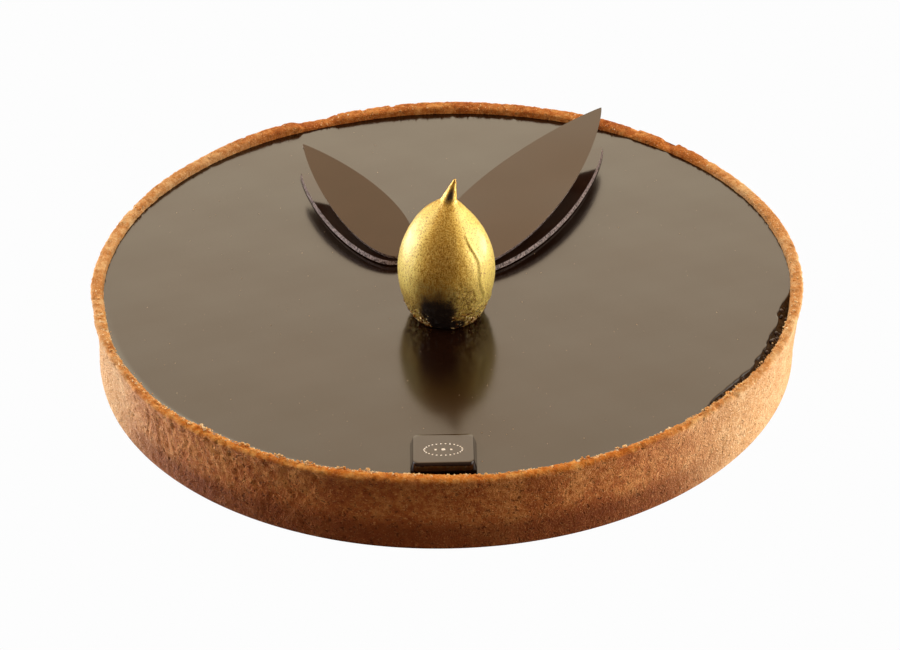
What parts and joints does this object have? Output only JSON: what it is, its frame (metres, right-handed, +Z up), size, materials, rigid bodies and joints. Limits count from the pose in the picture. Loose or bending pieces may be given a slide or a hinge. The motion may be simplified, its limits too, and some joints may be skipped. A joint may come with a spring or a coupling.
{
  "type": "chocolate tart",
  "caption": "Round shortcrust tart filled with glossy dark ganache, topped with a gold drop, chocolate leaves and a small plaque.",
  "frame": {"origin": "middle of the crust's flat underside, at the middle of the tart's outline", "axes": "+Z up, +Y from the plaque towards the leaves, +X to the right seen from the plaque's side"},
  "size_m": [0.2203, 0.2191, 0.0693],
  "materials": {
    "crust": "baked golden-brown shortcrust, fine open grain",
    "ganache": "mirror-glossy dark chocolate ganache",
    "gold": "edible gold powder and leaf, burnished and flaky",
    "leaf_chocolate": "tempered dark chocolate sheet, satin",
    "plaque_chocolate": "moulded dark chocolate, glossy, with a small printed ornament"
  },
  "bodies": {
    "root": {"crust": "crust", "ganache": "ganache", "gold_drop": "gold", "leaf_left_lower": "leaf_chocolate", "leaf_left_upper": "leaf_chocolate", "leaf_right_lower": "leaf_chocolate", "leaf_right_upper": "leaf_chocolate", "plaque": "plaque_chocolate"}
  },
  "joints": []
}
